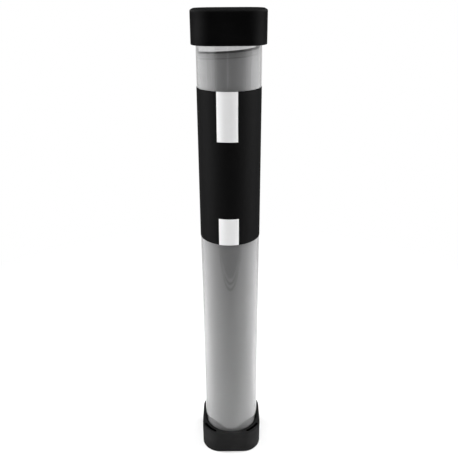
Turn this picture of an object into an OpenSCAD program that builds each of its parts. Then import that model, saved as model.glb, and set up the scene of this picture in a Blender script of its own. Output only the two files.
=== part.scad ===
/* [Tube] */
// Outside diameter of the clear tube
tube_d = 47; // [42:0.5:60]
// Wall of the clear tube
tube_wall = 1; // [0.6:0.1:1.6]
// Height of the whole object with both caps on
total_h = 378; // [300:1:500]

/* [Caps] */
// Height of a cap
cap_h = 22.5; // [14:0.5:32]
// Thickness of a cap's closed end
cap_end = 2.5; // [2:0.1:4]
// Wall between the round socket and a flat side
flat_wall = 2.7; // [2.2:0.1:4]
// Radius of a cap's four upright corners
corner_r = 15.5; // [12:0.5:18]
// Rounding between the closed end and the sides
edge_r = 1.2; // [0.4:0.1:2]
// Rounding of the mouth's outer rim
rim_r = 0.5; // [0.2:0.1:0.8]
// Wall between the round socket and a corner slot
slot_wall = 3; // [2:0.1:3.5]
// Width of a corner slot
slot_w = 1.6; // [1:0.1:2]
// Angle that a corner slot spans round the tube
slot_span = 28; // [12:1:34]
// Thickness left under a corner slot
slot_floor = 4; // [2.5:0.5:8]
// Clearance between the tube and a socket, on the radius
socket_gap = 0.08; // [0.04:0.01:0.1]
// Lead-in bevel at a socket's mouth
lead_in = 0.6; // [0.2:0.1:1]

/* [Label] */
// Height of the label along the tube
label_h = 116.5; // [80:0.5:150]
// Bare tube between the upper cap and the label
label_drop = 30; // [10:1:60]
// Thickness of the label
label_t = 0.25; // [0.1:0.05:0.5]
// Overlap of the label's ends at the back
label_lap = 8; // [4:1:15]
// Width of the printed stripe, round the tube
stripe_w = 16.2; // [8:0.2:24]
// Place of the stripe's middle, to the right of the front
stripe_shift = -1.3; // [-8:0.1:8]
// Height of the stripe's upper block
upper_block_h = 35.5; // [15:0.5:38]
// Height of the stripe's lower block
lower_block_h = 22.5; // [10:0.5:38]
// Thickness of the printed ink
ink_t = 0.05; // [0.03:0.01:0.1]

/* [Mat] */
// Length of the mat laid flat
mat_len = 610; // [400:10:680]
// Thickness of the mat
mat_t = 1.6; // [1:0.1:1.9]
// Air between two turns of the roll
turn_gap = 0.15; // [0.1:0.05:0.3]
// Clearance between the roll and the tube's wall
mat_gap = 0.3; // [0.2:0.1:1]
// Empty height over the front of the roll, under the closed end
mat_headroom = 24; // [10:0.1:40]
// Angle by which the roll's upper end slopes down to the back
back_slope = 6.5; // [0:0.5:10]
// Angle by which the roll's upper end slopes up to the right
right_slope = 5.5; // [0:0.5:8]
// Angle from the front round to the mat's outer end, on the right
outer_end = 110; // [0:5:180]

/* [Hidden] */
$fn = 96;
join = 0.01;
turn_steps = 60;

tube_r = tube_d / 2;
bore_r = tube_r - tube_wall;
tube_z = cap_end;
tube_len = total_h - 2 * cap_end;

socket_r = tube_r + socket_gap;
cap_w = 2 * (socket_r + flat_wall);
slot_r = socket_r + slot_wall + slot_w / 2;

label_top = total_h - cap_h - label_drop;
label_z = label_top - label_h;
label_r = tube_r + label_t;
lap_span = label_lap / label_r * 180 / PI;

front = -90;
stripe_span = stripe_w / label_r * 180 / PI;
stripe_middle = front + stripe_shift / label_r * 180 / PI;

// The roll winds inwards from its outer end, through the front to the left
mat_pitch = mat_t + turn_gap;
mat_out_r = bore_r - mat_gap;
mat_core_r = sqrt(mat_out_r * mat_out_r - mat_len * mat_pitch / PI);
mat_turns = (mat_out_r - mat_core_r) / mat_pitch;
mat_start = front + outer_end;
mat_steps = ceil(mat_turns * turn_steps);
mat_front_h = tube_len - mat_headroom;

function roll_angle(i) = i / mat_steps * mat_turns * 360;
function roll_r(i, inset) = mat_out_r - mat_pitch * roll_angle(i) / 360 - inset;
function roll_point(i, inset) =
    roll_r(i, inset) * [cos(mat_start - roll_angle(i)), sin(mat_start - roll_angle(i))];

// Part of a ring round the tube's axis, between two radii and two angles
module ring_part(r_in, r_out, h, from, span) {
    rotate([0, 0, from])
        rotate_extrude(angle = span)
            translate([r_in, 0])
                square([r_out - r_in, h]);
}

// Upright section of a cap, half on each side of its axis
module cap_section(half) {
    difference() {
        translate([-half, 0]) square([2 * half, cap_h]);
        for (side = [-1, 1]) {
            translate([side * half, 0]) section_corner(-side, 1, edge_r);
            translate([side * half, cap_h]) section_corner(-side, -1, rim_r);
        }
    }
}

// What a rounding of radius r takes off a corner of that section
module section_corner(x, y, r) {
    scale([x, y])
        difference() {
            translate([-join, -join]) square(r + join);
            translate([r, r]) circle(r);
        }
}

// Outside of a cap: two crossing bars, and a round post in each corner
module cap_block() {
    straight = cap_w - 2 * corner_r;
    for (turn = [0, 90])
        rotate([90, 0, turn])
            translate([0, 0, -straight / 2])
                linear_extrude(straight)
                    cap_section(cap_w / 2);
    for (x = [-1, 1], y = [-1, 1])
        translate([x * straight / 2, y * straight / 2, 0])
            rotate_extrude()
                intersection() {
                    cap_section(corner_r);
                    square([corner_r, cap_h]);
                }
}

// A curved slot with round ends, open at the cap's mouth
module corner_slot() {
    slot_h = cap_h - slot_floor + join;
    translate([0, 0, slot_floor]) {
        ring_part(slot_r - slot_w / 2, slot_r + slot_w / 2, slot_h, -slot_span / 2, slot_span);
        for (side = [-1, 1])
            rotate([0, 0, side * slot_span / 2])
                translate([slot_r, 0, 0])
                    cylinder(h = slot_h, d = slot_w, $fn = 32);
    }
}

// One cap standing on its closed end, with its socket open upwards
module cap() {
    difference() {
        cap_block();
        translate([0, 0, cap_end]) cylinder(h = cap_h, r = socket_r);
        translate([0, 0, cap_h - lead_in])
            cylinder(h = lead_in + join, r1 = socket_r, r2 = socket_r + lead_in + join);
        for (corner = [45:90:315])
            rotate([0, 0, corner]) corner_slot();
    }
}

module foot_cap() {
    color("#26262a") cap();
}

module top_cap() {
    color("#1a1a1c") translate([0, 0, total_h]) mirror([0, 0, 1]) cap();
}

module tube() {
    color("#dfe6ea", 0.3)
        translate([0, 0, tube_z])
            difference() {
                cylinder(h = tube_len, r = tube_r);
                translate([0, 0, -join]) cylinder(h = tube_len + 2 * join, r = bore_r);
            }
}

// Black sleeve round the tube, whose ends lap over each other at the back
module label() {
    color("#151515")
        translate([0, 0, label_z]) {
            difference() {
                cylinder(h = label_h, r = label_r);
                translate([0, 0, -join]) cylinder(h = label_h + 2 * join, r = tube_r);
            }
            ring_part(label_r - label_t / 2, label_r + label_t, label_h, -front - lap_span / 2, lap_span);
        }
}

// One white block of the stripe, printed on the label's front
module stripe_block(z, h) {
    translate([0, 0, z])
        ring_part(label_r, label_r + ink_t, h, stripe_middle - stripe_span / 2, stripe_span);
}

module label_print() {
    color("#e6e6e6") {
        stripe_block(label_top - upper_block_h, upper_block_h);
        stripe_block(label_z, lower_block_h);
    }
}

// The mat rolled up, one spiral wall from its outer end to its core
module roll_outline() {
    polygon(concat(
        [for (i = [0:mat_steps]) roll_point(i, 0)],
        [for (i = [mat_steps:-1:0]) roll_point(i, mat_t)]
    ));
}

module rolled_mat() {
    spare_h = 20;
    color("#8a8a8c")
        translate([0, 0, tube_z])
            difference() {
                linear_extrude(mat_front_h + spare_h) roll_outline();
                translate([0, -mat_out_r, mat_front_h])
                    rotate([-back_slope, -right_slope, 0])
                        translate([-2 * tube_d, -tube_d, 0])
                            cube([4 * tube_d, 4 * tube_d, 2 * tube_d]);
            }
}

tube();
foot_cap();
top_cap();
label();
label_print();
rolled_mat();
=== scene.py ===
import math

import bmesh
import bpy
from mathutils import Matrix, Vector


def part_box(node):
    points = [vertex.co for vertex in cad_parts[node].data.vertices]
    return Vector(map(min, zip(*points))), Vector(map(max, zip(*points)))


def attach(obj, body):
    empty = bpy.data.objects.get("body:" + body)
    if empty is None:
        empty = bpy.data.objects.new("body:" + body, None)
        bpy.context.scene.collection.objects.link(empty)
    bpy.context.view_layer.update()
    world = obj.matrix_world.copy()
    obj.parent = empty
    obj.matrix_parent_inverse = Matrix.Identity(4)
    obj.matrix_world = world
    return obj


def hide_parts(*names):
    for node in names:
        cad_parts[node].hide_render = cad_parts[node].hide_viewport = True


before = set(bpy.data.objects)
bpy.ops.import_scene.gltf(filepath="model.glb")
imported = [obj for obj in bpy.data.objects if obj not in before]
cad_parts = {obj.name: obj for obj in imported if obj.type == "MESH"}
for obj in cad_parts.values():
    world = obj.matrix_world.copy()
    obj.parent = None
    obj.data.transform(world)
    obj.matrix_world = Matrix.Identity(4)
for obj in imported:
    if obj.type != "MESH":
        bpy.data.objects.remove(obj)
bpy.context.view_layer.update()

bl_info = {
    "name": "Playmat Tube",
    "version": (1, 0, 0),
    "blender": (4, 5, 0),
    "location": "View3D > Sidebar > Playmat Tube",
    "description": "Builds a clear storage tube with its end caps, its label and the mat rolled up inside",
    "category": "Object",
}

PHOTO_WIDTH = 458
SENSOR_WIDTH = 36.0
FRONT = -math.pi / 2
BACK = math.pi / 2
SHARP_ANGLE = math.radians(32)
BELOW_EDGE = "below_edge"
MERGE_DISTANCE = 1e-7
CLIP_START = 0.01
CLIP_END = 50.0

# Points round a piece, or along a rounding
WALL_STEPS = 240
LABEL_STEPS = 260
STRIPE_STEPS = 48
MAT_STEPS = 144
ROUNDING_STEPS = 6

# Printed card and moulded plastic
SATIN = 0.03
# Distances from a cap's closed end: matt there, and on the upper cap painted paler as lit from above
END_BAND = (0.0002, 0.0022)
SLOT_EDGE = 0.0002

# Depths under the mat's upper edge: a dark line of painted shade along it, the shade under it and the seam
EDGE_SHADE_BAND = (0.001, 0.0016)
SHADE_BAND = (0.001, 0.007)
SEAM_DEPTH = 0.0047
SEAM_BAND = (0.0001, 0.0005)

# Turns of the mat: where one steps in, where the back drops, and where the edge has settled
STEP_FROM = 0.75
BACK_FROM = 0.45
BACK_SPAN = 0.3
SETTLED = 1.5

# Lines of painted shade at the table's folds, seen in the gloss only, and where it turns as white as the
# background
FOLDS = (0.315, 0.332)
FOLD_BAND = (0.0025, 0.007)
FOLD_SHADE_COLOUR = (0.03, 0.03, 0.03)
WHITE_BAND = (0.1, 0.5)

# Edges of the white part of the world in mirrors: the horizon, and the dark part in front
HORIZON = 0.03
DARK_FRONT = -0.85

# The lights
LEFT_LEVELS = (0.7, 1.9, 2.4, 2.1, 1.5, 0.9, 0.6, 0.5, 0.3, 0.15, 0.1)
RIGHT_LEVELS = (0.1, 0.5, 1.2, 1.4, 1.3, 1.1, 0.8, 0.6, 0.3, 0.15, 0.1)
SIDE_SIZE = 0.8
OVER_PLACE = (0.0, -0.9, 1.5)
OVER_AIM = (0.0, 0.0, 0.2)
OVER_WIDTH = 1.2
OVER_HEIGHT = 1.0
GLEAM_PLACE = (-0.059, -0.8, 0.3)
GLEAM_WIDTH = 0.075
GLEAM_HEIGHT = 0.2


class TubeSettings(bpy.types.PropertyGroup):
    """The clear tube."""

    wall: bpy.props.FloatProperty(
        name="Wall", description="Thickness of the clear wall", default=0.001, unit="LENGTH"
    )
    end_bevel: bpy.props.FloatProperty(
        name="End bevel", description="Bevel left by the saw on both ends", default=0.00015, unit="LENGTH"
    )
    tint: bpy.props.FloatVectorProperty(
        name="Tint", description="Share of the light that passes through the wall",
        default=(0.715, 0.715, 0.717), subtype="COLOR", size=3,
    )
    edge_tint: bpy.props.FloatVectorProperty(
        name="Edge tint", description="The same where the wall is seen at a glance",
        default=(0.05, 0.05, 0.051), subtype="COLOR", size=3,
    )


class CapSettings(bpy.types.PropertyGroup):
    """The two moulded caps."""

    corner_radius: bpy.props.FloatProperty(
        name="Corner radius", description="Radius of the upright corners", default=0.0155, unit="LENGTH"
    )
    edge_radius: bpy.props.FloatProperty(
        name="Edge radius", description="Rounding round the closed end", default=0.0012, unit="LENGTH"
    )
    rim_radius: bpy.props.FloatProperty(
        name="Rim radius", description="Rounding of the mouth's outer rim", default=0.0005, unit="LENGTH"
    )
    socket_gap: bpy.props.FloatProperty(
        name="Socket gap", description="Clearance between the tube and its socket", default=0.00008,
        unit="LENGTH",
    )
    lead_in: bpy.props.FloatProperty(
        name="Lead-in", description="Bevel at the socket's mouth", default=0.0006, unit="LENGTH"
    )
    slot_wall: bpy.props.FloatProperty(
        name="Slot wall", description="Wall between the socket and a corner slot", default=0.003,
        unit="LENGTH",
    )
    slot_width: bpy.props.FloatProperty(
        name="Slot width", description="Width of a corner slot", default=0.0018, unit="LENGTH"
    )
    slot_span: bpy.props.FloatProperty(
        name="Slot span", description="Angle that a corner slot spans", default=math.radians(26),
        subtype="ANGLE",
    )
    slot_floor: bpy.props.FloatProperty(
        name="Slot floor", description="Thickness left under a corner slot", default=0.004, unit="LENGTH"
    )
    upper_colour: bpy.props.FloatVectorProperty(
        name="Upper colour", description="Black of the upper cap", default=(0.0024, 0.0024, 0.0025),
        subtype="COLOR", size=3,
    )
    # Painted light: the lower cap is the same black plastic as the upper cap, painted paler for the brighter
    # light on it
    lower_lit_colour: bpy.props.FloatVectorProperty(
        name="Lower colour", description="Black of the lower cap, paler from standing on tables",
        default=(0.0118, 0.0118, 0.0119), subtype="COLOR", size=3,
    )
    # Painted light: the upper cap's closed end and its rounding, painted paler as lit from above
    end_lit_colour: bpy.props.FloatVectorProperty(
        name="End colour", description="Black of the upper cap's closed end, paler with dust",
        default=(0.014, 0.014, 0.0142), subtype="COLOR", size=3,
    )


class LabelSettings(bpy.types.PropertyGroup):
    """The sleeve label and what is printed on it."""

    thickness: bpy.props.FloatProperty(
        name="Thickness", description="Thickness of the label", default=0.00025, unit="LENGTH"
    )
    lap: bpy.props.FloatProperty(
        name="Lap", description="Overlap of the label's ends at the back", default=0.008, unit="LENGTH"
    )
    ink: bpy.props.FloatProperty(
        name="Ink", description="How far the printed blocks stand out", default=0.00004, unit="LENGTH"
    )
    stripe_width: bpy.props.FloatProperty(
        name="Stripe width", description="Width of the stripe round the tube", default=0.0154,
        unit="LENGTH",
    )
    upper_shift: bpy.props.FloatProperty(
        name="Upper shift", description="Place of the upper block's middle, to the right of the front",
        default=-0.0015, unit="LENGTH",
    )
    lower_shift: bpy.props.FloatProperty(
        name="Lower shift", description="The same for the lower block, as the label sits a little askew",
        default=-0.0009, unit="LENGTH",
    )
    upper_block: bpy.props.FloatProperty(
        name="Upper block", description="Height of the stripe's upper block", default=0.0355,
        unit="LENGTH",
    )
    lower_block: bpy.props.FloatProperty(
        name="Lower block", description="Height of the stripe's lower block", default=0.0217,
        unit="LENGTH",
    )
    black: bpy.props.FloatVectorProperty(
        name="Black", description="Colour of the printed ground", default=(0.0036, 0.0036, 0.0037),
        subtype="COLOR", size=3,
    )
    white: bpy.props.FloatVectorProperty(
        name="White", description="Colour of the stripe's blocks", default=(0.84, 0.84, 0.842),
        subtype="COLOR", size=3,
    )


class MatSettings(bpy.types.PropertyGroup):
    """The mat rolled up in the tube."""

    length: bpy.props.FloatProperty(
        name="Length", description="Length of the mat laid flat", default=0.61, unit="LENGTH"
    )
    thickness: bpy.props.FloatProperty(
        name="Thickness", description="Thickness of the mat", default=0.0016, unit="LENGTH"
    )
    turn_gap: bpy.props.FloatProperty(
        name="Turn gap", description="Air between two turns", default=0.00015, unit="LENGTH"
    )
    wall_gap: bpy.props.FloatProperty(
        name="Wall gap", description="Clearance between the roll and the tube", default=0.0003,
        unit="LENGTH",
    )
    headroom: bpy.props.FloatProperty(
        name="Headroom", description="Empty height over the front of the roll", default=0.0234,
        unit="LENGTH",
    )
    turn_drop: bpy.props.FloatProperty(
        name="Drop", description="How far the outer turn's edge comes down in going once round",
        default=0.0088, unit="LENGTH",
    )
    back_drop: bpy.props.FloatProperty(
        name="Back drop", description="How much further the edge comes down past the left side",
        default=0.0016, unit="LENGTH",
    )
    outer_end: bpy.props.FloatProperty(
        name="Outer end", description="Where the mat's outer end lies, from the front to the right",
        default=math.radians(110), subtype="ANGLE",
    )
    edge_round: bpy.props.FloatProperty(
        name="Edge round", description="Softness of the mat's cut edges", default=0.00025, unit="LENGTH"
    )
    colour: bpy.props.FloatVectorProperty(
        name="Colour", description="Grey of the mat's face", default=(0.33, 0.33, 0.331),
        subtype="COLOR", size=3,
    )
    # Painted shade: the dark line along the mat's upper edge
    edge_shade_colour: bpy.props.FloatVectorProperty(
        name="Edge colour", description="Colour of the mat's cut edge", default=(0.018, 0.018, 0.0185),
        subtype="COLOR", size=3,
    )


class StudioSettings(bpy.types.PropertyGroup):
    """Camera, table and light."""

    distance: bpy.props.FloatProperty(
        name="Distance", description="From the camera to the tube's axis, along the floor",
        default=0.4044, unit="LENGTH",
    )
    height: bpy.props.FloatProperty(
        name="Height", description="Height of the camera over the floor", default=0.3909, unit="LENGTH"
    )
    tilt: bpy.props.FloatProperty(
        name="Tilt", description="How far the camera looks down", default=math.radians(23.81),
        subtype="ANGLE",
    )
    roll: bpy.props.FloatProperty(
        name="Roll", description="How far the camera is turned clockwise", default=math.radians(0.364),
        subtype="ANGLE",
    )
    focal_pixels: bpy.props.FloatProperty(
        name="Focal length", description="Focal length in pixels of the photograph", default=547.1
    )
    centre_pixels: bpy.props.FloatProperty(
        name="Centre", description="How far the picture's centre lies right of the middle, in pixels",
        default=1.03,
    )
    table_front: bpy.props.FloatProperty(
        name="Table front", description="From the tube's axis to the front edge of the table",
        default=0.348, unit="LENGTH",
    )
    table_reach: bpy.props.FloatProperty(
        name="Table reach", description="How far the table reaches back and to the sides", default=9.0,
        unit="LENGTH",
    )
    table_colour: bpy.props.FloatVectorProperty(
        name="Table colour", description="Colour of the table", default=(0.84, 0.84, 0.84),
        subtype="COLOR", size=3,
    )
    ambient: bpy.props.FloatProperty(
        name="Ambient", description="Light that comes from all round", default=0.02
    )
    over_level: bpy.props.FloatProperty(
        name="Over level", description="Brightness of the soft box over the camera", default=3.1
    )
    side_level: bpy.props.FloatProperty(
        name="Side level", description="Brightness of the soft boxes beside the tube", default=11.6
    )
    gleam_level: bpy.props.FloatProperty(
        name="Gleam level", description="Brightness of the narrow light seen in the tube's gloss",
        default=0.9,
    )
    side_turn: bpy.props.FloatProperty(
        name="Side turn", description="Angle from the front to the soft boxes beside the tube",
        default=math.radians(98), subtype="ANGLE",
    )
    side_distance: bpy.props.FloatProperty(
        name="Side distance", description="From the tube's axis to the soft boxes beside it", default=0.8,
        unit="LENGTH",
    )
    panel_distance: bpy.props.FloatProperty(
        name="Panel distance", description="From the tube's axis to the side panels", default=0.6,
        unit="LENGTH",
    )
    panel_height: bpy.props.FloatProperty(
        name="Panel height", description="Height of the side panels", default=0.8, unit="LENGTH"
    )
    panel_start: bpy.props.FloatProperty(
        name="Panel start", description="Angle from the front to the first panel on either side",
        default=math.radians(45), subtype="ANGLE",
    )
    panel_step: bpy.props.FloatProperty(
        name="Panel step", description="Angle from one panel to the next", default=math.radians(9),
        subtype="ANGLE",
    )


class Wire:
    """A value in a shader. Sums and products of wires add Math nodes."""

    def __init__(self, board, socket):
        self.board = board
        self.socket = socket

    def math(self, operation, *others):
        return self.board.node("ShaderNodeMath", {"operation": operation}, dict(enumerate((self,) + others)))

    def math_after(self, operation, other):
        return self.board.node("ShaderNodeMath", {"operation": operation}, {0: other, 1: self})

    def __add__(self, other):
        return self.math("ADD", other)

    __radd__ = __add__

    def __sub__(self, other):
        return self.math("SUBTRACT", other)

    def __rsub__(self, other):
        return self.math_after("SUBTRACT", other)

    def __mul__(self, other):
        return self.math("MULTIPLY", other)

    __rmul__ = __mul__

    def __truediv__(self, other):
        return self.math("DIVIDE", other)

    def __rtruediv__(self, other):
        return self.math_after("DIVIDE", other)


class Board:
    """The shader of one material or world."""

    def __init__(self, owner):
        owner.use_nodes = True
        self.tree = owner.node_tree
        self.tree.nodes.clear()

    def node(self, kind, settings=None, values=None, out=0):
        """Adds a node, with its settings set before its sockets, and gives one of its outputs."""
        made = self.tree.nodes.new(kind)
        for name, value in (settings or {}).items():
            setattr(made, name, value)
        for key, value in (values or {}).items():
            if isinstance(value, Wire):
                self.tree.links.new(value.socket, made.inputs[key])
            else:
                made.inputs[key].default_value = value
        return Wire(self, made.outputs[out]) if made.outputs else None

    def place(self):
        """Where a point lies on its piece, in metres in the shared frame."""
        return self.node("ShaderNodeTexCoord", out="Object")

    def parts(self, vector):
        """The three numbers of a vector."""
        split = self.node("ShaderNodeSeparateXYZ", values={0: vector})
        return [Wire(self, socket) for socket in split.socket.node.outputs]

    def scaled(self, vector, factors):
        return self.node("ShaderNodeVectorMath", {"operation": "MULTIPLY"}, {0: vector, 1: factors})

    def noise(self, vector, scale, detail=2.0, roughness=0.5):
        values = {"Vector": vector, "Scale": scale, "Detail": detail, "Roughness": roughness}
        return self.node("ShaderNodeTexNoise", values=values)

    def step(self, value, low, high):
        """0 below low, 1 above high, and smooth between them."""
        values = {"Value": value, "From Min": low, "From Max": high}
        return self.node("ShaderNodeMapRange", {"interpolation_type": "SMOOTHSTEP"}, values)

    def blend(self, factor, first, second):
        """A colour between two colours."""
        values = {0: factor, 6: whole(first), 7: whole(second)}
        return self.node("ShaderNodeMix", {"data_type": "RGBA"}, values, out=2)

    def bump(self, height, strength, distance):
        values = {"Height": height, "Strength": strength, "Distance": distance}
        return self.node("ShaderNodeBump", values=values)

    def glance(self, low, high):
        """0 where a surface faces the viewer, 1 where it is seen at a glance."""
        facing = self.node("ShaderNodeLayerWeight", values={"Blend": 0.5}, out="Facing")
        return self.step(facing, low, high)

    def matt_share(self):
        """How much of a satin surface looks matt, most of it where it is seen at a glance."""
        return 0.85 * self.glance(0.2, 0.6)

    def ray(self, name):
        return self.node("ShaderNodeLightPath", out=name)

    def surface(self, **values):
        named = {key.replace("_", " "): whole(value) for key, value in values.items()}
        return self.node("ShaderNodeBsdfPrincipled", values=named)

    def mixed(self, factor, first, second):
        return self.node("ShaderNodeMixShader", values={0: factor, 1: first, 2: second})

    def end(self, shader, kind="ShaderNodeOutputMaterial"):
        self.node(kind, values={"Surface": shader})


def whole(value):
    """A colour with its alpha, and anything else as it is."""
    if isinstance(value, (Wire, float, int)) or len(value) != 3:
        return value
    return (*value, 1.0)


def new_material(name):
    material = bpy.data.materials.new(name)
    return material, Board(material)


def clear_plastic(settings):
    """Extruded clear plastic: faint streaks along its length, and light handling haze."""
    material, board = new_material("clear_plastic")
    place = board.place()
    streaks = board.noise(board.scaled(place, (1.0, 1.0, 0.03)), 900.0)
    haze = board.noise(place, 45.0, 4.0)
    roughness = 0.0015 + 0.0015 * streaks + 0.01 * board.step(haze, 0.6, 0.8)
    normal = board.bump(board.noise(board.scaled(place, (1.0, 1.0, 0.02)), 260.0), 0.008, 0.0002)
    tint = board.blend(board.glance(0.6, 0.8), tuple(settings.tint), tuple(settings.edge_tint))
    plastic = board.surface(
        Base_Color=tint, Roughness=roughness, Transmission_Weight=1.0, IOR=1.5, Normal=normal
    )
    crossed = tuple(math.sqrt(part) for part in settings.tint)
    open_way = board.node("ShaderNodeBsdfTransparent", values={"Color": whole(crossed)})
    board.end(board.mixed(board.ray("Is Shadow Ray"), plastic, open_way))
    return material


def cap_plastic(name, black, end_lit_black, closed_end):
    """Black moulded plastic with a fine grain, satin from the front, and matt at a glance and on its end; on
    the upper cap the end is painted paler as lit from above.
    """
    material, board = new_material(name)
    place = board.place()
    grain = board.noise(place, 2600.0, 3.0, 0.6)
    patches = board.noise(place, 60.0, 3.0)
    worn = tuple(1.6 * part for part in black)
    colour = board.blend(board.step(patches, 0.45, 0.8), tuple(black), worn)
    roughness = 0.42 + 0.1 * grain - 0.08 * patches
    normal = board.bump(grain, 0.25, 0.00006)
    satin = board.surface(Base_Color=colour, Roughness=roughness, Normal=normal, Specular_IOR_Level=SATIN)
    from_end = (board.parts(place)[2] - closed_end).math("ABSOLUTE")
    end = 1.0 - board.step(from_end, *END_BAND)
    # Painted light: the closed end takes the end colour, which is paler on the upper cap as lit from above
    colour_lit_at_end = board.blend(end, colour, tuple(end_lit_black))
    matt = board.surface(Base_Color=colour_lit_at_end, Roughness=1.0, Normal=normal, Specular_IOR_Level=0.0)
    board.end(board.mixed(board.matt_share().math("MAXIMUM", end), satin, matt))
    return material


def slot_shadow():
    """The deep black inside the narrow corner slots, with a trace of the same grain."""
    material, board = new_material("slot_shadow")
    grain = board.noise(board.place(), 2600.0, 3.0, 0.6)
    colour = board.blend(grain, (0.0004, 0.0004, 0.0004), (0.0009, 0.0009, 0.0009))
    board.end(board.surface(Base_Color=colour, Roughness=0.9, Specular_IOR_Level=0.0))
    return material


def label_ground(settings):
    """Black print on smooth card, with a fibre grain and a slight mottle in its gloss."""
    material, board = new_material("label_ground")
    place = board.place()
    fibres = board.noise(board.scaled(place, (1.0, 1.0, 0.35)), 3200.0, 4.0, 0.6)
    mottle = board.noise(place, 220.0, 3.0)
    black = tuple(settings.black)
    colour = board.blend(mottle, black, tuple(1.35 * part for part in black))
    normal = board.bump(fibres, 0.12, 0.00003)
    satin = board.surface(
        Base_Color=colour, Roughness=0.5 + 0.12 * mottle, Normal=normal, Specular_IOR_Level=SATIN
    )
    matt = board.surface(Base_Color=colour, Roughness=1.0, Normal=normal, Specular_IOR_Level=0.0)
    board.end(board.mixed(board.matt_share(), satin, matt))
    return material


def label_white(settings):
    """The white of the stripe, the same card with less ink on it."""
    material, board = new_material("label_white")
    place = board.place()
    fibres = board.noise(board.scaled(place, (1.0, 1.0, 0.35)), 3200.0, 4.0, 0.6)
    mottle = board.noise(place, 300.0, 3.0)
    white = tuple(settings.white)
    colour = board.blend(mottle, white, tuple(0.965 * part for part in white))
    normal = board.bump(fibres, 0.12, 0.00003)
    board.end(board.surface(
        Base_Color=colour, Roughness=0.5 + 0.12 * mottle, Normal=normal, Specular_IOR_Level=SATIN
    ))
    return material


def mat_cloth(settings):
    """Grey cloth with a fine knit, with a dark line of painted shade along its upper edge."""
    material, board = new_material("mat_cloth")
    place = board.place()
    depth = board.node("ShaderNodeAttribute", {"attribute_name": BELOW_EDGE}, out="Fac")
    # Painted shade: a dark line along the upper edge
    edge = 1.0 - board.step(depth, *EDGE_SHADE_BAND)
    shade = 1.0 - board.step(depth, *SHADE_BAND)
    knit = board.noise(board.scaled(place, (1.0, 1.0, 0.6)), 2400.0, 2.0)
    clouds = board.noise(place, 30.0, 3.0)
    face = tuple(settings.colour)
    colour = board.blend(clouds, face, tuple(1.1 * part for part in face))
    colour = board.blend(0.35 * shade, colour, tuple(0.35 * part for part in face))
    seam = 1.0 - board.step((depth - SEAM_DEPTH).math("ABSOLUTE"), *SEAM_BAND)
    colour = board.blend(0.5 * seam, colour, tuple(0.4 * part for part in face))
    colour = board.blend(edge, colour, tuple(settings.edge_shade_colour))
    normal = board.bump(knit, 0.1, 0.00006)
    board.end(board.surface(
        Base_Color=colour, Roughness=0.7 + 0.15 * knit, Normal=normal, Specular_IOR_Level=0.25
    ))
    return material


def table_top(settings):
    """A pale matt table whose far parts are as white as the background."""
    material, board = new_material("table_top")
    place = board.place()
    grain = board.noise(place, 400.0, 3.0)
    pale = tuple(settings.table_colour)
    colour = board.blend(grain, pale, tuple(0.985 * part for part in pale))
    across = board.parts(place)[1] * -1.0
    seen = board.ray("Is Camera Ray")
    plain = 1.0
    # Painted shade in the table's folds: dark lines that all rays but the camera's see, so they show in the
    # tube's gloss
    for line in FOLDS:
        fold = 1.0 - board.step((across - line).math("ABSOLUTE"), *FOLD_BAND)
        colour = board.blend((1.0 - seen) * fold, colour, FOLD_SHADE_COLOUR)
        plain = plain * (1.0 - fold)
    lit = board.surface(Base_Color=colour, Roughness=0.7 + 0.1 * grain)
    distance = board.node("ShaderNodeVectorMath", {"operation": "LENGTH"}, {0: place}, out="Value")
    mirrored = (board.ray("Is Glossy Ray") + board.ray("Is Transmission Ray")).math("MINIMUM", 1.0)
    white = board.node("ShaderNodeEmission", values={"Color": (1.0, 1.0, 1.0, 1.0), "Strength": 1.0})
    far = board.step(distance, *WHITE_BAND)
    board.end(board.mixed(far * seen.math("MAXIMUM", mirrored * plain), lit, white))
    return material


def studio_world(settings):
    """White where it is seen, dark in front in mirrors, and a plain level for light."""
    world = bpy.data.worlds.new("studio")
    bpy.context.scene.world = world
    board = Board(world)
    x, y, z = board.parts(board.node("ShaderNodeTexCoord", out="Generated"))
    above = board.step(z, -HORIZON, HORIZON)
    beside = board.step(y, DARK_FRONT, 0.0)
    direct = 1.0 - board.ray("Diffuse Depth").math("MINIMUM", 1.0)
    seen = (board.ray("Is Camera Ray") + direct * board.ray("Is Transmission Ray")).math("MINIMUM", 1.0)
    mirrored = board.ray("Is Glossy Ray")
    light = above * (mirrored * beside + (1.0 - mirrored) * settings.ambient)
    level = seen + (1.0 - seen) * light
    white = board.node("ShaderNodeBackground", values={"Color": (1.0, 1.0, 1.0, 1.0), "Strength": level})
    board.end(white, "ShaderNodeOutputWorld")


def ring(bm, outline, z):
    """A closed row of points at one height."""
    return [bm.verts.new((x, y, z)) for x, y in outline]


def bridge(bm, lower, upper):
    """A band of faces between two rows of the same number of points."""
    count = len(lower)
    for i in range(count):
        j = (i + 1) % count
        bm.faces.new((lower[i], lower[j], upper[j], upper[i]))


def fill(bm, *rows):
    """A flat face bounded by one row of points, with any others as its holes."""
    edges = []
    for row in rows:
        for i, vertex in enumerate(row):
            after = row[(i + 1) % len(row)]
            edges.append(bm.edges.get((vertex, after)) or bm.edges.new((vertex, after)))
    bmesh.ops.triangle_fill(bm, use_beauty=True, use_dissolve=False, edges=edges)


def circle(radius, steps=160):
    """Points round the tube's axis."""
    turns = [2 * math.pi * i / steps for i in range(steps)]
    return [(radius * math.cos(turn), radius * math.sin(turn)) for turn in turns]


def rounded_square(half, corner, inset, steps=20):
    """A square with round corners, drawn in by inset all round."""
    middle = half - corner
    radius = corner - inset
    points = []
    for quarter in range(4):
        base = quarter * math.pi / 2
        for i in range(steps + 1):
            turn = base + i / steps * math.pi / 2
            corner_x = middle * (1 if quarter in (0, 3) else -1)
            corner_y = middle * (1 if quarter in (0, 1) else -1)
            points.append((corner_x + radius * math.cos(turn), corner_y + radius * math.sin(turn)))
    return points


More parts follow.
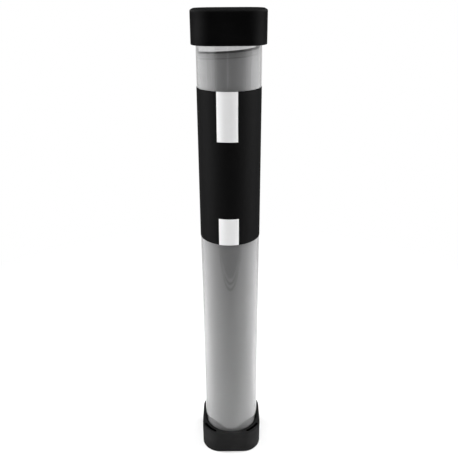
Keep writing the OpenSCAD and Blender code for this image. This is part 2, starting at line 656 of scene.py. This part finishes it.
def curved_slot(radius, half_width, span, middle, steps=20, end_steps=8):
    """A slot that follows the tube, with round ends, about an angle."""
    points = []
    for i in range(steps + 1):
        turn = middle - span / 2 + span * i / steps
        points.append(((radius + half_width) * math.cos(turn), (radius + half_width) * math.sin(turn)))
    for side, first in ((1, 0.0), (-1, math.pi)):
        end = middle + side * span / 2
        centre = Vector((radius * math.cos(end), radius * math.sin(end)))
        for i in range(1, end_steps):
            turn = end + first + math.pi * i / end_steps
            points.append(tuple(centre + half_width * Vector((math.cos(turn), math.sin(turn)))))
        if side == 1:
            for j in range(steps + 1):
                turn = middle + span / 2 - span * j / steps
                inner = radius - half_width
                points.append((inner * math.cos(turn), inner * math.sin(turn)))
    return points


def finish_piece(bm, name, node, body, slot, *materials):
    """Turns a mesh in the making into a piece that stands for a node of the frame."""
    bmesh.ops.remove_doubles(bm, verts=bm.verts, dist=MERGE_DISTANCE)
    bmesh.ops.recalc_face_normals(bm, faces=bm.faces)
    for face in bm.faces:
        face.smooth = True
    for edge in bm.edges:
        if len(edge.link_faces) == 2 and edge.calc_face_angle() > SHARP_ANGLE:
            edge.smooth = False
    mesh = bpy.data.meshes.new(name)
    bm.to_mesh(mesh)
    bm.free()
    for material in materials:
        mesh.materials.append(material)
    piece = bpy.data.objects.new(name, mesh)
    bpy.context.scene.collection.objects.link(piece)
    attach(piece, body)
    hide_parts(node)


def build_tube(settings):
    """The clear wall: a long ring with a small bevel on each of its four rims."""
    low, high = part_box("tube")
    outer = high.x
    inner = outer - settings.wall
    bevel = settings.end_bevel
    section = [
        (outer, low.z + bevel), (outer, high.z - bevel), (outer - bevel, high.z), (inner + bevel, high.z),
        (inner, high.z - bevel), (inner, low.z + bevel), (inner + bevel, low.z), (outer - bevel, low.z),
    ]
    bm = bmesh.new()
    rows = [ring(bm, circle(radius, WALL_STEPS), z) for radius, z in section]
    for i, row in enumerate(rows):
        bridge(bm, row, rows[(i + 1) % len(rows)])
    finish_piece(bm, "clear_wall", "tube", "tube", "clear_plastic", clear_plastic(settings))


def build_cap(name, node, body, settings, black, upside_down):
    """One cap: rounded outside, mouth face, round socket and four corner slots."""
    low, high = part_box(node)
    half = high.x
    depth = high.z - low.z
    tube_low, tube_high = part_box("tube")
    end_wall = tube_low.z
    socket = tube_high.x + settings.socket_gap
    slot_half = settings.slot_width / 2
    slot_radius = socket + settings.slot_wall + slot_half
    edge = settings.edge_radius
    rim = settings.rim_radius

    def up(z):
        return high.z - z if upside_down else low.z + z

    bm = bmesh.new()
    turns = [i / ROUNDING_STEPS * math.pi / 2 for i in range(ROUNDING_STEPS + 1)]
    profile = [(edge * (1 - math.sin(turn)), edge * (1 - math.cos(turn))) for turn in turns]
    profile += [(rim * (1 - math.cos(turn)), depth - rim * (1 - math.sin(turn))) for turn in turns]
    outside = [ring(bm, rounded_square(half, settings.corner_radius, inset), up(z)) for inset, z in profile]
    for lower, upper in zip(outside, outside[1:]):
        bridge(bm, lower, upper)
    fill(bm, outside[0])

    levels = [(socket + settings.lead_in, depth), (socket, depth - settings.lead_in), (socket, end_wall)]
    hole = [ring(bm, circle(radius), up(z)) for radius, z in levels]
    for lower, upper in zip(hole, hole[1:]):
        bridge(bm, lower, upper)
    fill(bm, hole[-1])

    mouths = []
    for quarter in range(4):
        middle = math.pi / 4 + quarter * math.pi / 2
        shapes = [(SLOT_EDGE, depth), (0.0, depth - SLOT_EDGE), (0.0, settings.slot_floor)]
        rows = [
            ring(bm, curved_slot(slot_radius, slot_half + grow, settings.slot_span, middle), up(z))
            for grow, z in shapes
        ]
        made = len(bm.faces)
        for lower, upper in zip(rows, rows[1:]):
            bridge(bm, lower, upper)
        fill(bm, rows[-1])
        bm.faces.ensure_lookup_table()
        for face in bm.faces[made:]:
            face.material_index = 1
        mouths.append(rows[0])
    fill(bm, outside[-1], hole[0], *mouths)
    # The upper cap's end is painted paler as lit from above
    end_lit_black = settings.end_lit_colour if upside_down else black
    material = cap_plastic(name, black, end_lit_black, high.z if upside_down else low.z)
    finish_piece(bm, name, node, body, "cap_plastic", material, slot_shadow())


def sweep(bm, rows):
    """A closed bar through a list of rows, shut at both ends."""
    for first, second in zip(rows, rows[1:]):
        bridge(bm, first, second)
    bm.faces.new(rows[0])
    bm.faces.new(rows[-1])


def arc_rows(bm, angles, section):
    """Rows of points round the tube: section gives (radius, z) pairs for an angle."""
    rows = []
    for turn in angles:
        rows.append([
            bm.verts.new((radius * math.cos(turn), radius * math.sin(turn), z)) for radius, z in section(turn)
        ])
    return rows


def build_label(settings):
    """The sleeve: one strip of card wound once round the tube, its ends lapped at the back."""
    low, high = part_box("label")
    tube_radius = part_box("tube")[1].x
    thickness = settings.thickness
    soft = thickness / 4
    lap = settings.lap / tube_radius
    climb = 2.5 * lap / 4
    first = BACK - lap / 2
    last = first + 2 * math.pi + lap
    lap_from = first + 2 * math.pi

    def section(turn):
        inner = tube_radius + thickness * ease((turn - lap_from + climb) / climb)
        outer = inner + thickness
        return [
            (inner, low.z), (outer - soft, low.z), (outer, low.z + soft),
            (outer, high.z - soft), (outer - soft, high.z), (inner, high.z),
        ]

    bm = bmesh.new()
    angles = [first + (last - first) * i / LABEL_STEPS for i in range(LABEL_STEPS + 1)]
    sweep(bm, arc_rows(bm, angles, section))
    finish_piece(bm, "label_sleeve", "label", "tube", "label_black", label_ground(settings))


def build_stripe(settings):
    """The two white blocks, a film of ink on the label's front."""
    low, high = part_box("label")
    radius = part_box("tube")[1].x + settings.thickness
    span = settings.stripe_width / radius
    inner = radius - settings.thickness / 4
    outer = radius + settings.ink
    blocks = (
        (high.z - settings.upper_block, high.z, settings.upper_shift),
        (low.z, low.z + settings.lower_block, settings.lower_shift),
    )
    bm = bmesh.new()
    for bottom, top, shift in blocks:
        middle = FRONT + shift / radius
        section = [(inner, bottom), (outer, bottom), (outer, top), (inner, top)]
        angles = [middle - span / 2 + span * i / STRIPE_STEPS for i in range(STRIPE_STEPS + 1)]
        sweep(bm, arc_rows(bm, angles, lambda turn, s=section: s))
    finish_piece(bm, "stripe_blocks", "label_print", "tube", "label_white", label_white(settings))


def build_mat(settings):
    """The rolled mat: one strip that winds inwards, its outer turn a little askew, with soft edges."""
    tube_low, tube_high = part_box("tube")
    outer = tube_high.x - bpy.context.scene.playmat_tube.wall - settings.wall_gap
    pitch = settings.thickness + settings.turn_gap
    core = math.sqrt(outer ** 2 - settings.length * pitch / math.pi)
    turns = (outer - core) / pitch
    start = FRONT + settings.outer_end
    soft = settings.edge_round
    top = tube_high.z - settings.headroom + settings.turn_drop * settings.outer_end / (2 * math.pi)

    bm = bmesh.new()
    below = bm.verts.layers.float.new(BELOW_EDGE)
    steps = int(turns * MAT_STEPS)
    rows = []
    for i in range(steps + 1):
        turned = turns * i / steps
        turn = start - 2 * math.pi * turned
        drop = settings.turn_drop * settle(turned)
        high = top - drop - settings.back_drop * ease((turned - BACK_FROM) / BACK_SPAN)
        low = tube_low.z + settings.turn_drop - drop
        face = outer - pitch * inwards(turned)
        back = face - settings.thickness
        section = (
            (face, low + soft), (face, high - 10 * soft), (face, high - soft), (face - soft, high),
            (back + soft, high), (back, high - soft), (back, low + soft), (back + soft, low),
            (face - soft, low),
        )
        row = []
        for radius, z in section:
            vertex = bm.verts.new((radius * math.cos(turn), radius * math.sin(turn), z))
            vertex[below] = high - z
            row.append(vertex)
        rows.append(row)
    sweep(bm, rows)
    finish_piece(bm, "mat_roll", "rolled_mat", "tube", "mat_grey", mat_cloth(settings))


def ease(share):
    """0 up to 0, 1 from 1 on, and smooth between them."""
    share = min(max(share, 0.0), 1.0)
    return share * share * (3 - 2 * share)


def inwards(turned):
    """Pitches by which a turn lies inside the wall: it follows the wall, and steps in under the outer end."""
    whole_turns = math.floor(turned)
    return whole_turns + ease((turned - whole_turns - STEP_FROM) / (1 - STEP_FROM))


def settle(turned):
    """Share of the drop reached after some turns: even at first, and the whole of it once settled."""
    return turned - turned ** 3 * 4 / 27 if turned < SETTLED else 1.0


def soft_light(name, place, aim, width, height, radiance, mirrored=False):
    """A soft box that faces a point, and either lights the pieces or, mirrored, shows in their gloss."""
    lamp = bpy.data.lights.new(name, "AREA")
    lamp.shape = "RECTANGLE"
    lamp.size = width
    lamp.size_y = height
    lamp.energy = radiance * math.pi * width * height
    light = bpy.data.objects.new(name, lamp)
    light.location = place
    light.rotation_mode = "QUATERNION"
    light.rotation_quaternion = (Vector(aim) - Vector(place)).to_track_quat("-Z", "Y")
    light.visible_camera = False
    light.visible_transmission = False
    light.visible_diffuse = not mirrored
    light.visible_glossy = mirrored
    bpy.context.scene.collection.objects.link(light)


def around(side, turn, distance, height):
    """A point at an angle from the front, on the left (-1) or the right (1) of the tube."""
    return side * distance * math.sin(turn), -distance * math.cos(turn), height


def build_panels(settings):
    """Tall panels seen in the gloss of both sides, and the soft box that lights each side."""
    gap = settings.panel_step
    width = 2 * settings.panel_distance * math.tan(gap / 2)
    middle = settings.panel_height / 2
    for side, label, levels in ((-1, "left", LEFT_LEVELS), (1, "right", RIGHT_LEVELS)):
        for number, brightness in enumerate(levels):
            turn = settings.panel_start + gap * number
            place = around(side, turn, settings.panel_distance, middle)
            name = f"panel_{label}_{number}"
            soft_light(name, place, (0.0, 0.0, middle), width, settings.panel_height, brightness, True)
        place = around(side, settings.side_turn, settings.side_distance, middle)
        soft_light(f"light_{label}", place, (0.0, 0.0, middle), SIDE_SIZE, SIDE_SIZE, settings.side_level)


def build_table(settings):
    """The pale table, whose straight front edge shows in the tube's gloss."""
    reach = settings.table_reach
    front = -settings.table_front
    bm = bmesh.new()
    corners = ((-reach, front), (reach, front), (reach, reach), (-reach, reach))
    bm.faces.new([bm.verts.new((x, y, 0.0)) for x, y in corners])
    mesh = bpy.data.meshes.new("table")
    bm.to_mesh(mesh)
    bm.free()
    mesh.materials.append(table_top(settings))
    table = bpy.data.objects.new("table", mesh)
    bpy.context.scene.collection.objects.link(table)


def build_camera(settings):
    """The camera that stands where the photograph was taken from."""
    lens = bpy.data.cameras.new("camera")
    lens.sensor_width = SENSOR_WIDTH
    lens.lens = settings.focal_pixels * SENSOR_WIDTH / PHOTO_WIDTH
    lens.shift_x = -settings.centre_pixels / PHOTO_WIDTH
    lens.clip_start = CLIP_START
    lens.clip_end = CLIP_END
    camera = bpy.data.objects.new("camera", lens)
    place = Matrix.Translation((0.0, -settings.distance, settings.height))
    pitch = Matrix.Rotation(math.pi / 2 - settings.tilt, 4, "X")
    camera.matrix_world = place @ pitch @ Matrix.Rotation(-settings.roll, 4, "Z")
    bpy.context.scene.collection.objects.link(camera)
    bpy.context.scene.camera = camera


class PLAYMAT_OT_clear_tube(bpy.types.Operator):
    """Build the clear tube"""

    bl_idname = "playmat.clear_tube"
    bl_label = "Clear Tube"

    def execute(self, context):
        build_tube(context.scene.playmat_tube)
        return {"FINISHED"}


class PLAYMAT_OT_end_caps(bpy.types.Operator):
    """Build the two end caps"""

    bl_idname = "playmat.end_caps"
    bl_label = "End Caps"

    def execute(self, context):
        settings = context.scene.playmat_caps
        build_cap("cap_lower", "foot_cap", "foot", settings, settings.lower_lit_colour, False)
        build_cap("cap_upper", "top_cap", "top", settings, settings.upper_colour, True)
        return {"FINISHED"}


class PLAYMAT_OT_label(bpy.types.Operator):
    """Build the sleeve label and its printed stripe"""

    bl_idname = "playmat.label"
    bl_label = "Label"

    def execute(self, context):
        settings = context.scene.playmat_label
        build_label(settings)
        build_stripe(settings)
        return {"FINISHED"}


class PLAYMAT_OT_rolled_mat(bpy.types.Operator):
    """Build the mat rolled up in the tube"""

    bl_idname = "playmat.rolled_mat"
    bl_label = "Rolled Mat"

    def execute(self, context):
        build_mat(context.scene.playmat_mat)
        return {"FINISHED"}


class PLAYMAT_OT_studio(bpy.types.Operator):
    """Set up the camera, the table and the light"""

    bl_idname = "playmat.studio"
    bl_label = "Studio"

    def execute(self, context):
        settings = context.scene.playmat_studio
        build_camera(settings)
        build_table(settings)
        studio_world(settings)
        soft_light("light_over", OVER_PLACE, OVER_AIM, OVER_WIDTH, OVER_HEIGHT, settings.over_level)
        aim = (0.0, 0.0, GLEAM_PLACE[2])
        soft_light("gleam", GLEAM_PLACE, aim, GLEAM_WIDTH, GLEAM_HEIGHT, settings.gleam_level, True)
        build_panels(settings)
        context.scene.view_settings.view_transform = "Standard"
        return {"FINISHED"}


class PLAYMAT_PT_panel(bpy.types.Panel):
    """Lists what can be built"""

    bl_idname = "PLAYMAT_PT_panel"
    bl_label = "Playmat Tube"
    bl_space_type = "VIEW_3D"
    bl_region_type = "UI"
    bl_category = "Playmat Tube"

    def draw(self, context):
        for operator in OPERATORS:
            self.layout.operator(operator.bl_idname)


SETTINGS = {
    "playmat_tube": TubeSettings,
    "playmat_caps": CapSettings,
    "playmat_label": LabelSettings,
    "playmat_mat": MatSettings,
    "playmat_studio": StudioSettings,
}
OPERATORS = (
    PLAYMAT_OT_studio,
    PLAYMAT_OT_clear_tube,
    PLAYMAT_OT_end_caps,
    PLAYMAT_OT_label,
    PLAYMAT_OT_rolled_mat,
)


def register():
    for name, group in SETTINGS.items():
        bpy.utils.register_class(group)
        setattr(bpy.types.Scene, name, bpy.props.PointerProperty(type=group))
    for kind in (*OPERATORS, PLAYMAT_PT_panel):
        bpy.utils.register_class(kind)


def unregister():
    for kind in (PLAYMAT_PT_panel, *reversed(OPERATORS)):
        bpy.utils.unregister_class(kind)
    for name, group in SETTINGS.items():
        delattr(bpy.types.Scene, name)
        bpy.utils.unregister_class(group)


def main():
    register()
    bpy.ops.playmat.studio()
    bpy.ops.playmat.clear_tube()
    bpy.ops.playmat.end_caps()
    bpy.ops.playmat.label()
    bpy.ops.playmat.rolled_mat()


if __name__ == "__main__":
    main()
